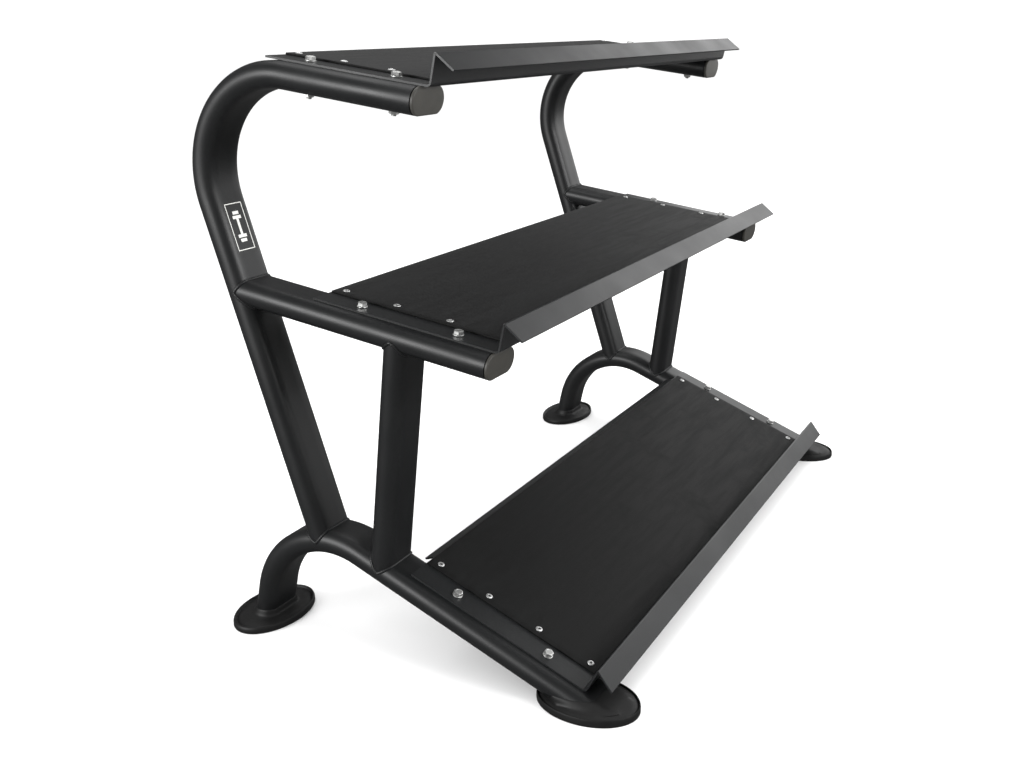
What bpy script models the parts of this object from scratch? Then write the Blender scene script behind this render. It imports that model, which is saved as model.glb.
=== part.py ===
"""Three-tier dumbbell rack: two welded end frames of flat-oval tube, and three bolted sheet-steel trays.

Metres, +Z up. X runs along the trays, -Y is the front, and the origin is on the floor under the middle.
"""

import math

import bmesh
import bpy
from mathutils import Matrix, Vector

# Fit between pieces that touch
GAP = 0.0003

# A cutting block that covers one end frame's footprint
BLOCK = (0.3, 2.0, 0.2)

# Flat-oval tube: TUBE_WIDE across the rack, TUBE_DEEP in the plane of the end frame
TUBE_WIDE = 0.080
TUBE_DEEP = 0.040
TUBE_BULGE = 0.0165
TUBE_WALL = 0.003
SIDE_STEPS = 6
BEND_STEP = math.radians(10)

# Trays: one folded sheet each, drawn from its rear edge forwards
TRAY_LONG = 1.200
SHEET = 0.003
BOLT_INSET = 0.020
LIP_UP = 0.0455
LIP_UP_ANGLE = math.radians(85)
LIP_OVER = 0.039
LIP_OVER_ANGLE = math.radians(31)
FLANGE_DEEP = 0.020
FLANGE_ANGLE = math.radians(40)
FLANGE_CLEAR = 0.008
FOLD_RADIUS = 0.004
FOLD_SEGMENTS = 2

# name: depth, slope, rear edge of the seat on the tube (y from the datum, z), bolt distance from each edge
TRAYS = {
    "top": (0.282, math.radians(8.2), 0.1963, 0.9337, 0.0665),
    "middle": (0.324, math.radians(8.3), 0.1411, 0.5805, 0.0770),
    "bottom": (0.324, math.radians(21.7), -0.0133, 0.1510, 0.0770),
}

# Rubber mats
MAT_THICK = 0.003
MAT_INSET = 0.042
MAT_REAR = 0.002
MAT_FRONT = 0.0045
MAT_EDGE = 0.001

# End frame, y from the datum
UPRIGHT_Y = 0.2519
UPRIGHT_Z = 0.480
UPRIGHT_LEAN = math.radians(17.5)
UPRIGHT_BEND = 0.149
POST_Y = 0.0115
POST_Z = 0.360
POST_LEAN = math.radians(-7.4)
LEG_Y = 0.266
LEG_Z = 0.120
LEG_LEAN = math.radians(-13.3)
ARCH_BEND = 0.146
TOP_ARM_SHORT = 0.017
MIDDLE_ARM_SHORT = 0.009

# End caps
CAP_THICK = 0.0065
CAP_EDGE = 0.002
CAP_PLUG = 0.014
CAP_PLUG_CLEAR = 0.0006

# Rubber feet
SOLE = 0.005
FOOT_RIM = 0.012
FOOT_RIM_WIDE = 0.010
FOOT_FLOOR = 0.009
FOOT_EDGE = 0.002
FOOT_COLLAR = 0.024
COLLAR_START = 0.002
COLLAR_WALL = 0.006
COLLAR_REACH = 0.88
FOOT_SEGMENTS = 28
REAR_FOOT = (0.085, 0.057)
FRONT_FOOT = (0.059, 0.082)

# Fasteners
BOLT_DIAMETER = 0.008
BOLT_SPARE = 0.0027
HEAD_FLATS = 0.013
HEAD_HIGH = 0.0053
HOLE_CLEAR = 0.001
WASHER_DIAMETER = 0.016
WASHER_THICK = 0.0016
NUT_HIGH = 0.0065
NUT_CLEAR = 0.0007
ROUND_SEGMENTS = 14

# A bolt passes through its washer, the tray, the tube and its nut, and shows BOLT_SPARE of thread
HOLE_DIAMETER = BOLT_DIAMETER + HOLE_CLEAR
BOLT_STACK = WASHER_THICK + SHEET + TUBE_DEEP + NUT_HIGH + 4 * GAP
BOLT_LONG = BOLT_STACK + BOLT_SPARE

FRAME_X = TRAY_LONG / 2 - BOLT_INSET

# Colours as linear RGB, roughness, metallic
LOOKS = {
    "powder_coat": ((0.012, 0.012, 0.013), 0.45, 0.0),
    "tray_coat": ((0.018, 0.018, 0.019), 0.50, 0.0),
    "rubber_mat": ((0.012, 0.012, 0.012), 0.75, 0.0),
    "rubber_foot": ((0.010, 0.010, 0.010), 0.65, 0.0),
    "plastic_cap": ((0.060, 0.058, 0.052), 0.55, 0.0),
    "zinc": ((0.55, 0.55, 0.54), 0.30, 1.0),
}


def clear_scene():
    for old in list(bpy.data.objects):
        bpy.data.objects.remove(old)


def new_collection(name, helper=False):
    collection = bpy.data.collections.new(name)
    bpy.context.scene.collection.children.link(collection)
    collection.hide_render = helper
    return collection


def new_material(name):
    colour, roughness, metallic = LOOKS[name]
    material = bpy.data.materials.new(name)
    material.use_nodes = True
    shader = material.node_tree.nodes["Principled BSDF"]
    shader.inputs["Base Color"].default_value = (*colour, 1.0)
    shader.inputs["Roughness"].default_value = roughness
    shader.inputs["Metallic"].default_value = metallic
    return material


# ---------------------------------------------------------------- plane geometry of the end frame


def slope_axes(slope):
    """Forward direction and upward normal, in (y, z), of a plane that falls towards the front."""
    forward = Vector((-math.cos(slope), -math.sin(slope)))
    return forward, Vector((-math.sin(slope), math.cos(slope)))


def lean_axis(lean):
    """Upward direction, in (y, z), of a member that leans back by this angle."""
    return Vector((math.sin(lean), math.cos(lean)))


def crossing(point, along, other, other_along):
    """Where two lines in (y, z) cross."""
    offset = other - point
    turn = along.cross(other_along)
    return point + along * (offset.cross(other_along) / turn)


def line_meets_circle(point, along, centre, radius):
    """The crossing that lies furthest along the line."""
    to_centre = centre - point
    reach = to_centre.dot(along)
    miss = to_centre.length_squared - reach * reach
    return point + along * (reach + math.sqrt(radius * radius - miss))


def bent_path(start, corner, end, radius):
    """Points from start to end round a corner of this radius, and the centre of the bend."""
    into, out = (corner - start).normalized(), (end - corner).normalized()
    turn = into.angle(out)
    tangent = radius * math.tan(turn / 2)
    side = Vector((-into.y, into.x))
    if side.dot(out) < 0:
        side = -side
    centre = corner - into * tangent + side * radius
    steps = math.ceil(turn / BEND_STEP)
    bend = [
        centre + (into * math.sin(turn * i / steps) - side * math.cos(turn * i / steps)) * radius
        for i in range(steps + 1)
    ]
    return [start, *bend, end], centre


class FramePlan:
    """Centre lines of the end frame's members, as points in (y, z)."""

    def __init__(self):
        up, leg_up = lean_axis(UPRIGHT_LEAN), lean_axis(LEG_LEAN)
        post_up = lean_axis(POST_LEAN)
        on_upright, on_leg = Vector((UPRIGHT_Y, UPRIGHT_Z)), Vector((LEG_Y, LEG_Z))
        on_post = Vector((POST_Y, POST_Z))
        arms = {name: self.arm_line(name) for name in TRAYS}

        rail_start, rail_forward = arms["bottom"]
        corner = crossing(on_leg, leg_up, rail_start, rail_forward)
        rear_end = on_leg - leg_up * (LEG_Z / leg_up.y)
        front_end = rail_start - rail_forward * (rail_start.y / rail_forward.y)
        overrun = 2 * TUBE_DEEP
        self.foot_rear, self.foot_front = rear_end, front_end
        self.foot_rail, arch_centre = bent_path(
            rear_end - leg_up * overrun, corner, front_end + rail_forward * overrun, ARCH_BEND
        )

        bottom = line_meets_circle(on_upright, up, arch_centre, ARCH_BEND)
        arm_start, arm_forward = arms["top"]
        corner = crossing(on_upright, up, arm_start, arm_forward)
        arm_end = arm_start + arm_forward * (TRAYS["top"][0] - TOP_ARM_SHORT)
        self.upright_arm, bend_centre = bent_path(bottom, corner, arm_end, UPRIGHT_BEND)

        arm_start, arm_forward = arms["middle"]
        arm_end = arm_start + arm_forward * (TRAYS["middle"][0] - MIDDLE_ARM_SHORT)
        self.middle_arm = [crossing(on_upright, up, arm_start, arm_forward), arm_end]
        self.front_post = [
            crossing(on_post, post_up, rail_start, rail_forward),
            crossing(on_post, post_up, arm_start, arm_forward),
        ]

        rearmost = bend_centre.x + UPRIGHT_BEND + TUBE_DEEP / 2
        foremost = self.front_foot_middle().x - FRONT_FOOT[1]
        self.middle_y = (rearmost + foremost) / 2

    def arm_line(self, name):
        """Start under the tray's rear edge, and direction, of the tube that carries this tray."""
        _, slope, y, z, _ = TRAYS[name]
        forward, up = slope_axes(slope)
        return Vector((y, z)) - up * (TUBE_DEEP / 2), forward

    def front_foot_middle(self):
        """The front foot sits a little behind the point where the tube's centre line meets the floor."""
        return self.foot_front + Vector((FRONT_FOOT[1] / 3, 0))


PLAN = FramePlan()


# ---------------------------------------------------------------- shapes


def oval_outline(wide, deep, bulge, steps=SIDE_STEPS):
    """Flat top and bottom, with sides that are arcs standing out by bulge. Wide along y, deep along x."""
    half = deep / 2
    radius = (bulge * bulge + half * half) / (2 * bulge)
    centre = wide / 2 - radius
    reach = math.asin(half / radius)
    angles = [reach - 2 * reach * i / steps for i in range(steps + 1)]
    side = [Vector((radius * math.sin(a), centre + radius * math.cos(a))) for a in angles]
    return side + [-point for point in side]


def tube_outline(grow=0.0):
    """The tube's section, larger all round by grow."""
    return oval_outline(TUBE_WIDE + 2 * grow, TUBE_DEEP + 2 * grow, TUBE_BULGE + grow / 2)


def poly_curve(name, points, closed=False):
    curve = bpy.data.curves.new(name, "CURVE")
    curve.dimensions = "2D"
    curve.fill_mode = "NONE"
    spline = curve.splines.new("POLY")
    spline.points.add(len(points) - 1)
    for target, point in zip(spline.points, points):
        target.co = (point.x, point.y, 0.0, 1.0)
    spline.use_cyclic_u = closed
    return curve


def as_mesh(name, data, collection, matrix=None):
    """A mesh object made from curve data, with its loose caps welded, and then turned by matrix."""
    helper = bpy.data.objects.new(name + "_curve", data)
    collection.objects.link(helper)
    bpy.context.view_layer.update()
    graph = bpy.context.evaluated_depsgraph_get()
    mesh = bpy.data.meshes.new_from_object(helper.evaluated_get(graph))
    bpy.data.objects.remove(helper)
    work = bmesh.new()
    work.from_mesh(mesh)
    bmesh.ops.remove_doubles(work, verts=work.verts, dist=1e-6)
    bmesh.ops.recalc_face_normals(work, faces=work.faces)
    work.to_mesh(mesh)
    work.free()
    if matrix is not None:
        mesh.transform(matrix)
    mesh.name = name
    obj = bpy.data.objects.new(name, mesh)
    collection.objects.link(obj)
    return obj


# The frame's plane: a curve's x becomes the rack's y, and its y becomes the rack's z
FRAME_PLANE = Matrix(((0, 0, 1, 0), (1, 0, 0, 0), (0, 1, 0, 0), (0, 0, 0, 1)))


def swept(name, path, collection, grow=0.0, solid=False):
    """The tube's section swept along a path in (y, z): an open skin, or a solid with filled ends."""
    section = bpy.data.objects.new(name + "_section", poly_curve(name, tube_outline(grow), closed=True))
    collection.objects.link(section)
    curve = poly_curve(name, path)
    curve.bevel_mode = "OBJECT"
    curve.bevel_object = section
    curve.use_fill_caps = solid
    obj = as_mesh(name, curve, collection, FRAME_PLANE)
    bpy.data.objects.remove(section)
    return obj


def boolean(obj, cutter, operation="DIFFERENCE"):
    modifier = obj.modifiers.new(operation.title(), "BOOLEAN")
    modifier.operation = operation
    modifier.solver = "EXACT"
    modifier.object = cutter


def as_cutter(obj):
    obj.hide_render = True
    obj.display_type = "WIRE"
    return obj


def settle(obj):
    """Applies the modifiers, so that copies can share the finished mesh."""
    bpy.context.view_layer.update()
    graph = bpy.context.evaluated_depsgraph_get()
    mesh = bpy.data.meshes.new_from_object(obj.evaluated_get(graph))
    mesh.name = obj.name
    obj.modifiers.clear()
    obj.data = mesh
    mesh.shade_smooth()
    mesh.set_sharp_from_angle(angle=math.radians(35))
    return obj


def mesh_object(name, work, collection):
    mesh = bpy.data.meshes.new(name)
    work.to_mesh(mesh)
    work.free()
    obj = bpy.data.objects.new(name, mesh)
    collection.objects.link(obj)
    return obj


def box(name, size, centre, collection):
    work = bmesh.new()
    bmesh.ops.create_cube(work, size=1.0)
    bmesh.ops.scale(work, vec=size, verts=work.verts)
    bmesh.ops.translate(work, vec=centre, verts=work.verts)
    return mesh_object(name, work, collection)


def prism(name, segments, radius, low, high, collection, turn=0.0):
    """An upright prism or cylinder from z = low to z = high."""
    work = bmesh.new()
    placed = Matrix.Translation((0, 0, (low + high) / 2)) @ Matrix.Rotation(turn, 4, "Z")
    bmesh.ops.create_cone(
        work,
        cap_ends=True,
        segments=segments,
        radius1=radius,
        radius2=radius,
        depth=high - low,
        matrix=placed,
    )
    return mesh_object(name, work, collection)


def turned(name, profile, segments, collection):
    """A Screw round Z of a profile of (radius, z) points that runs down its outer side."""
    mesh = bpy.data.meshes.new(name)
    points = [(radius, 0.0, z) for radius, z in profile]
    mesh.from_pydata(points, [(i, i + 1) for i in range(len(points) - 1)], [])
    obj = bpy.data.objects.new(name, mesh)
    collection.objects.link(obj)
    screw = obj.modifiers.new("Screw", "SCREW")
    screw.steps = screw.render_steps = segments
    screw.use_merge_vertices = True
    screw.merge_threshold = 1e-5
    return obj


# ---------------------------------------------------------------- the rack


class Rack:
    def __init__(self):
        self.parts = new_collection("dumbbell_rack")
        self.cutters = new_collection("cutters", helper=True)
        self.materials = {name: new_material(name) for name in LOOKS}
        self.sides = {side: self.new_empty(f"frame_{side}", x) for side, x in (("left", -1), ("right", 1))}
        self.floor_cut = self.block("floor_cut", SOLE + GAP)
        self.solid = {
            name: as_cutter(swept(f"{name}_space", getattr(PLAN, name), self.cutters, GAP, solid=True))
            for name in ("upright_arm", "middle_arm", "foot_rail")
        }

    def block(self, name, top):
        """A cutter that takes away everything below z = top."""
        return as_cutter(box(name, BLOCK, (0, 0, top - BLOCK[2] / 2), self.cutters))

    def hole(self, name, diameter, low, high):
        return as_cutter(prism(name, ROUND_SEGMENTS, diameter / 2, low, high, self.cutters))

    def new_empty(self, name, sign):
        empty = bpy.data.objects.new(name, None)
        empty.location = (sign * FRAME_X, -PLAN.middle_y, 0)
        self.parts.objects.link(empty)
        return empty

    def on_both_frames(self, pattern, material, location=(0, 0, 0), rotation=0.0):
        """Two nodes that share the pattern's mesh, one on each end frame."""
        pattern.data.materials.clear()
        pattern.data.materials.append(self.materials[material])
        for side, frame in self.sides.items():
            copy = bpy.data.objects.new(f"{pattern.name}_{side}", pattern.data)
            copy.parent = frame
            copy.location = location
            copy.rotation_euler.x = rotation
            self.parts.objects.link(copy)
        bpy.data.objects.remove(pattern)

    # -- tubes

    def bolt_holes(self, tray):
        """The two clearance holes through the tube under one tray."""
        depth, slope, y, z, inset = TRAYS[tray]
        for number, along in enumerate((inset, depth - inset)):
            low, high = -1.5 * TUBE_DEEP, TUBE_DEEP / 2
            hole = self.hole(f"{tray}_tube_hole_{number}", HOLE_DIAMETER, low, high)
            turn = Matrix.Translation((0, y, z)) @ Matrix.Rotation(slope, 4, "X")
            hole.data.transform(turn @ Matrix.Translation((0, -along, 0)))
            yield hole

    def tube(self, name, cutters):
        pattern = swept(name, getattr(PLAN, name), self.parts)
        wall = pattern.modifiers.new("Wall", "SOLIDIFY")
        wall.thickness = TUBE_WALL
        wall.offset = -1
        wall.use_even_offset = True
        for cutter in cutters:
            boolean(pattern, cutter)
        self.on_both_frames(settle(pattern), "powder_coat")

    def frames(self):
        self.tube("foot_rail", [self.floor_cut, *self.bolt_holes("bottom")])
        self.tube("upright_arm", [self.solid["foot_rail"], *self.bolt_holes("top")])
        self.tube("middle_arm", [self.solid["upright_arm"], *self.bolt_holes("middle")])
        self.tube("front_post", [self.solid["foot_rail"], self.solid["middle_arm"]])

    # -- caps and feet

    def flat_oval(self, name, shrink, low, high):
        """A flat piece with the tube's outline, smaller by shrink, from z = low to z = high."""
        curve = poly_curve(name, tube_outline(-shrink), closed=True)
        curve.fill_mode = "BOTH"
        curve.extrude = (high - low) / 2
        upright = Matrix.Translation((0, 0, (low + high) / 2)) @ Matrix.Rotation(math.radians(90), 4, "Z")
        return as_mesh(name, curve, self.parts, upright)

    def caps(self):
        for tray, short in (("top", TOP_ARM_SHORT), ("middle", MIDDLE_ARM_SHORT)):
            depth, slope, y, z, _ = TRAYS[tray]
            cap = self.flat_oval(f"{tray}_cap", 0.0, GAP, CAP_THICK)
            rounded = cap.modifiers.new("Rounded", "BEVEL")
            rounded.width = CAP_EDGE
            rounded.segments = 2
            rounded.limit_method = "ANGLE"
            rounded.angle_limit = math.radians(60)
            plug = self.flat_oval("plug", TUBE_WALL + CAP_PLUG_CLEAR, -CAP_PLUG, CAP_THICK / 2)
            boolean(cap, plug, "UNION")
            settle(cap)
            bpy.data.objects.remove(plug)
            forward, up = slope_axes(slope)
            end = Vector((y, z)) + forward * (depth - short) - up * (TUBE_DEEP / 2)
            self.on_both_frames(cap, "plastic_cap", (0, end.x, end.y), math.radians(90) + slope)

    def foot_profile(self, half_width):
        """Radius and height of the foot's skin, from the middle of its top to the middle of its sole."""
        rim = FOOT_RIM_WIDE / half_width
        edge = FOOT_EDGE / half_width
        return [
            (0.0, FOOT_FLOOR),
            (1 - 2 * rim, FOOT_FLOOR),
            (1 - 1.6 * rim, FOOT_RIM),
            (1 - 0.4 * rim, FOOT_RIM),
            (1 - edge, FOOT_RIM - 1.5 * FOOT_EDGE),
            (1.0, FOOT_EDGE),
            (1 - edge, 0.0),
            (0.0, 0.0),
        ]

    def feet(self):
        space = as_cutter(swept("foot_space", PLAN.foot_rail, self.cutters, GAP, solid=True))
        boolean(space, self.block("sole_cut", SOLE))
        settle(space)
        collars = swept("collars", PLAN.foot_rail, self.cutters, COLLAR_WALL, solid=True)
        band_size = (*BLOCK[:2], FOOT_COLLAR - COLLAR_START)
        band = box("collar_band", band_size, (0, 0, (FOOT_COLLAR + COLLAR_START) / 2), self.cutters)
        boolean(collars, as_cutter(band), "INTERSECT")
        settle(as_cutter(collars))
        places = {
            "rear_foot": (PLAN.foot_rear, REAR_FOOT),
            "front_foot": (PLAN.front_foot_middle(), FRONT_FOOT),
        }
        for name, (middle, (half_x, half_y)) in places.items():
            foot = settle(turned(name, self.foot_profile(min(half_x, half_y)), FOOT_SEGMENTS, self.parts))
            place = Matrix.Translation((0, middle.x, 0)) @ Matrix.Diagonal((half_x, half_y, 1, 1))
            foot.data.transform(place)
            low, high = -FOOT_COLLAR, 2 * FOOT_COLLAR
            collar = prism(f"{name}_collar", FOOT_SEGMENTS, COLLAR_REACH, low, high, self.cutters)
            collar.data.transform(place)
            boolean(collar, collars, "INTERSECT")
            boolean(foot, as_cutter(settle(collar)), "UNION")
            boolean(foot, space)
            self.on_both_frames(settle(foot), "rubber_foot")

    # -- trays

    def tray_sheet(self, name, depth):
        """The folded sheet, drawn as its upper face and thickened downwards."""
        half = TRAY_LONG / 2
        flange_end = FRAME_X - TUBE_WIDE / 2 - FLANGE_CLEAR
        top = GAP + SHEET
        lip_y = depth + LIP_UP * math.cos(LIP_UP_ANGLE)
        lip_z = top + LIP_UP * math.sin(LIP_UP_ANGLE)
        rows = [
            (-FLANGE_DEEP * math.cos(FLANGE_ANGLE), top - FLANGE_DEEP * math.sin(FLANGE_ANGLE)),
            (0.0, top),
            (depth, top),
            (lip_y, lip_z),
            (lip_y + LIP_OVER * math.cos(LIP_OVER_ANGLE), lip_z - LIP_OVER * math.sin(LIP_OVER_ANGLE)),
        ]
        columns = [-half, -flange_end, flange_end, half]
        work = bmesh.new()
        bmesh.ops.create_grid(work, x_segments=len(columns) - 1, y_segments=len(rows) - 1, size=1.0)
        for vert in work.verts:
            column = round((vert.co.x + 1) / 2 * (len(columns) - 1))
            forward, height = rows[round((1 - vert.co.y) / 2 * (len(rows) - 1))]
            vert.co = (columns[column], -forward, height)
        wings = [
            face
            for face in work.faces
            if face.calc_center_median().y > 0 and abs(face.calc_center_median().x) > flange_end
        ]
        bmesh.ops.delete(work, geom=wings, context="FACES")
        tray = mesh_object(name, work, self.parts)
        folds = tray.modifiers.new("Folds", "BEVEL")
        folds.width = FOLD_RADIUS
        folds.segments = FOLD_SEGMENTS
        folds.limit_method = "ANGLE"
        folds.angle_limit = math.radians(20)
        sheet = tray.modifiers.new("Sheet", "SOLIDIFY")
        sheet.thickness = SHEET
        sheet.offset = -1
        sheet.use_even_offset = True
        return tray

    def mat(self, name, depth):
        long = TRAY_LONG - 2 * MAT_INSET
        wide = depth - MAT_REAR - MAT_FRONT
        low = SHEET + 2 * GAP
        middle = (0, -(MAT_REAR + wide / 2), low + MAT_THICK / 2)
        mat = box(name, (long, wide, MAT_THICK), middle, self.parts)
        edge = mat.modifiers.new("Edge", "BEVEL")
        edge.width = MAT_EDGE
        edge.segments = 1
        return mat

    def fasteners(self):
        """One bolt, one washer and one nut, standing on a tray's seat plane at z = 0."""
        washer_low = SHEET + 2 * GAP
        head_low = washer_low + WASHER_THICK + GAP
        corners = HEAD_FLATS / math.sqrt(3)
        bolt = prism("bolt", 6, corners, head_low, head_low + HEAD_HIGH, self.parts)
        low, high = head_low - BOLT_LONG, head_low + HEAD_HIGH / 2
        shank = prism("shank", ROUND_SEGMENTS, BOLT_DIAMETER / 2, low, high, self.parts)
        boolean(bolt, shank, "UNION")
        settle(bolt)
        bpy.data.objects.remove(shank)
        washer = prism(
            "washer", ROUND_SEGMENTS, WASHER_DIAMETER / 2, washer_low, washer_low + WASHER_THICK, self.parts
        )
        nut_high = -TUBE_DEEP - GAP
        nut = prism("nut", 6, corners, nut_high - NUT_HIGH, nut_high, self.parts, turn=math.radians(30))
        bore = self.hole("bore", BOLT_DIAMETER + NUT_CLEAR, nut_high - 2 * NUT_HIGH, 2 * NUT_HIGH)
        for pierced in (washer, nut):
            boolean(pierced, bore)
            settle(pierced)
        bpy.data.objects.remove(bore)
        for piece in (bolt, washer, nut):
            piece.data.materials.append(self.materials["zinc"])
        return bolt, washer, nut

    def trays(self):
        patterns = self.fasteners()
        for name, (depth, slope, y, z, inset) in TRAYS.items():
            tray = self.tray_sheet(f"{name}_tray", depth)
            seat = bpy.data.objects.new(f"{name}_seat", None)
            seat.location = (0, y - PLAN.middle_y, z)
            seat.rotation_euler.x = slope
            self.parts.objects.link(seat)
            mat = self.mat(f"{name}_mat", depth)
            tray.data.materials.append(self.materials["tray_coat"])
            mat.data.materials.append(self.materials["rubber_mat"])
            tray.parent = mat.parent = seat
            number = 0
            for side_x in (-FRAME_X, FRAME_X):
                for along in (inset, depth - inset):
                    number += 1
                    hole = self.hole(f"{name}_hole_{number}", HOLE_DIAMETER, -SHEET, 3 * SHEET)
                    hole.parent = seat
                    hole.location = (side_x, -along, 0)
                    boolean(tray, hole)
                    for pattern in patterns:
                        copy = bpy.data.objects.new(f"{name}_{pattern.name}_{number}", pattern.data)
                        copy.parent = seat
                        copy.location = (side_x, -along, 0)
                        self.parts.objects.link(copy)
        for pattern in patterns:
            bpy.data.objects.remove(pattern)


def main():
    clear_scene()
    rack = Rack()
    rack.frames()
    rack.caps()
    rack.feet()
    rack.trays()


main()
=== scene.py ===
"""Dumbbell rack: its finishes, its finely made pieces, and the floor, lights and camera round it.

Metres, +Z up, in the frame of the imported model: X runs along the trays, -Y is the front, and the
origin is on the floor under the middle.
"""

import math
import random

import bmesh
import bpy
from mathutils import Matrix, Vector, noise
from mathutils.bvhtree import BVHTree


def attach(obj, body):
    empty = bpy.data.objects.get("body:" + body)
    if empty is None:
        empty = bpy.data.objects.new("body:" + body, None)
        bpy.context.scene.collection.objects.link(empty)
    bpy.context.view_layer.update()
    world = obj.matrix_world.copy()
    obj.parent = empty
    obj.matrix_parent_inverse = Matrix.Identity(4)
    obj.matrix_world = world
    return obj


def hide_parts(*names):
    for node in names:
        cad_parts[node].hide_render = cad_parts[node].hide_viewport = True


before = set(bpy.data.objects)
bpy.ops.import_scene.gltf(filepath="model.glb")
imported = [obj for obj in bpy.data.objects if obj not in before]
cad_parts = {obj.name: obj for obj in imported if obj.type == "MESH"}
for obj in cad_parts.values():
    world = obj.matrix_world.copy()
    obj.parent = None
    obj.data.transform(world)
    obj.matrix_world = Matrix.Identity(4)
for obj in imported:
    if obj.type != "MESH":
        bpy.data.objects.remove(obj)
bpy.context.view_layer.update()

MM = 0.001

# Fit between pieces that touch
GAP = 0.3 * MM

# Vertices nearer than this are one
SAME_POINT = 0.001 * MM

# Flat-oval tube, 80 across the rack by 40 in the plane of the end frame
TUBE_WIDE = 80 * MM
TUBE_DEEP = 40 * MM
TUBE_BULGE = 16.5 * MM
TUBE_SIDE_STEPS = 14
TUBE_FLAT_STEPS = 4
TUBE_BEND_STEP = math.radians(2.5)

# Trays
TRAY_LONG = 1.200
SHEET = 3 * MM
BOLT_INSET = 20 * MM
LIP_UP = 45.5 * MM
LIP_UP_ANGLE = math.radians(85)
LIP_OVER = 39 * MM
LIP_OVER_ANGLE = math.radians(31)
FLANGE_DEEP = 20 * MM
FLANGE_ANGLE = math.radians(40)
FLANGE_CLEAR = 8 * MM
FOLD_RADIUS = 4 * MM
FOLD_SEGMENTS = 7
CUT_EDGE = 0.5 * MM

# name: depth, slope, rear edge of the seat on the tube (y from the datum, z), and the distance of
# the bolts from each edge
TRAYS = {
    "top": (0.282, math.radians(8.2), 0.1963, 0.9337, 66.5 * MM),
    "middle": (0.324, math.radians(8.3), 0.1411, 0.5805, 77.0 * MM),
    "bottom": (0.324, math.radians(21.7), -0.0133, 0.1510, 77.0 * MM),
}

# Rubber mats and the rivets that hold them
MAT_THICK = 3 * MM
MAT_INSET = 42 * MM
MAT_REAR = 2 * MM
MAT_FRONT = 4.5 * MM
MAT_EDGE = 0.8 * MM
MAT_WAVE = 0.12 * MM
MAT_WAVES_PER_METRE = 9
MAT_GRID = (96, 24)
RIVET_INSET = 56.8 * MM
RIVETS_IN_ROW = 4
RIVET_SINK = 0.1 * MM

# Distance of a row's first rivet from the rear edge of the tray, and of its last from the front edge
RIVET_ROWS = {
    "top": (15.0 * MM, 17.0 * MM),
    "middle": (19.5 * MM, 19.5 * MM),
    "bottom": (19.5 * MM, 19.5 * MM),
}

# End frame, y from the datum
UPRIGHT_Y = 0.2519
UPRIGHT_Z = 0.480
UPRIGHT_LEAN = math.radians(17.5)
UPRIGHT_BEND = 0.149
POST_Y = 0.0115
POST_Z = 0.360
POST_LEAN = math.radians(-7.4)
LEG_Y = 0.266
LEG_Z = 0.120
LEG_LEAN = math.radians(-13.3)
ARCH_BEND = 0.146
TOP_ARM_SHORT = 17 * MM
MIDDLE_ARM_SHORT = 9 * MM

# Weld beads
BEAD = 2.6 * MM
BEAD_STEP = 1.0 * MM
BEAD_RIPPLE = 3.4 * MM
BEAD_SWELL = 0.08
BEAD_SIDES = 10
BEAD_LUMPS = 24
BEAD_RISE = 0.15 * BEAD
# The weld line is sought this far inside the tube's skin, where it surely meets the other tube
WELD_INSET = 0.25 * MM

# Rubber feet: half sizes in x and y
REAR_FOOT = (85 * MM, 57 * MM)
FRONT_FOOT = (59 * MM, 82 * MM)
# The tube comes down this far behind the middle of the front foot
FRONT_SETBACK = FRONT_FOOT[1] / 3
FOOT_SOLE = 5 * MM
FOOT_SIDES = 120

# Fasteners, M8
BOLT_DIAMETER = 8 * MM
BOLT_LONG = 55 * MM
BOLT_PITCH = 1.25 * MM
HEAD_FLATS = 13 * MM
HEAD_HIGH = 5.3 * MM
WASHER_DIAMETER = 16 * MM
WASHER_THICK = 1.6 * MM
WASHER_BORE = 8.7 * MM
NUT_HIGH = 6.5 * MM
NUT_COUNTERSINK = 0.5 * MM
# A chamfer starts on a circle this share of the distance between flats
CHAMFER_SHARE = 0.94
CHAMFER_ANGLE = math.radians(30)
THREAD_DEPTH = 0.5 * MM
THREAD_STEPS = 6
# How much deeper than a thread the bolt's end is turned down
LEAD_IN = 0.6
HEX_SIDES = 60

# Sticker, measured up the left upright from its datum point
STICKER_UP = 0.2025
STICKER_WIDE = 37 * MM
STICKER_HIGH = 75 * MM
STICKER_LINE = 1.3 * MM
STICKER_THICK = 0.15 * MM
STICKER_CLEAR = 0.05 * MM
# Its dumbbell: distance from the middle, width and height of the inner and outer plates, and the bar
STICKER_PLATES = ((15 * MM, 18 * MM, 5 * MM), (22 * MM, 13 * MM, 5 * MM))
STICKER_BAR = (5 * MM, 25 * MM)

FRAME_X = TRAY_LONG / 2 - BOLT_INSET
SIDES = {"left": -FRAME_X, "right": FRAME_X}

# Camera
CAMERA_AT = Vector((-1.88406, -0.90141, 0.96460))
CAMERA_LOOKS = Vector((0.83109, 0.46555, -0.30423))
CAMERA_RIGHT = Vector((0.48363, -0.87509, -0.01792))
LENS = 38.873
SENSOR = 36.0

# Studio: how bright the room is to a matt surface and in a reflection, and the soft boxes
FLOOR_RADIUS = 60.0
FLOOR_CORNERS = 96
ROOM_LIGHT = 1.2
ROOM_REFLECTED = 0.15
# name: place, what it points at, width, height, watts
SOFTBOXES = {
    "overhead": ((0.4, 0.6, 4.0), (0.0, 0.0, 0.0), 3.0, 3.0, 60.0),
    "left_bank": ((-3.6, 1.6, 1.5), (0.0, 0.1, 0.7), 2.6, 1.2, 120.0),
    "front_bank": ((0.4, -4.2, 2.4), (0.0, 0.0, 0.4), 3.4, 1.6, 150.0),
    "right_bank": ((4.0, -1.1, 1.7), (0.0, 0.0, 0.6), 5.0, 2.6, 76.0),
}

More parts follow.
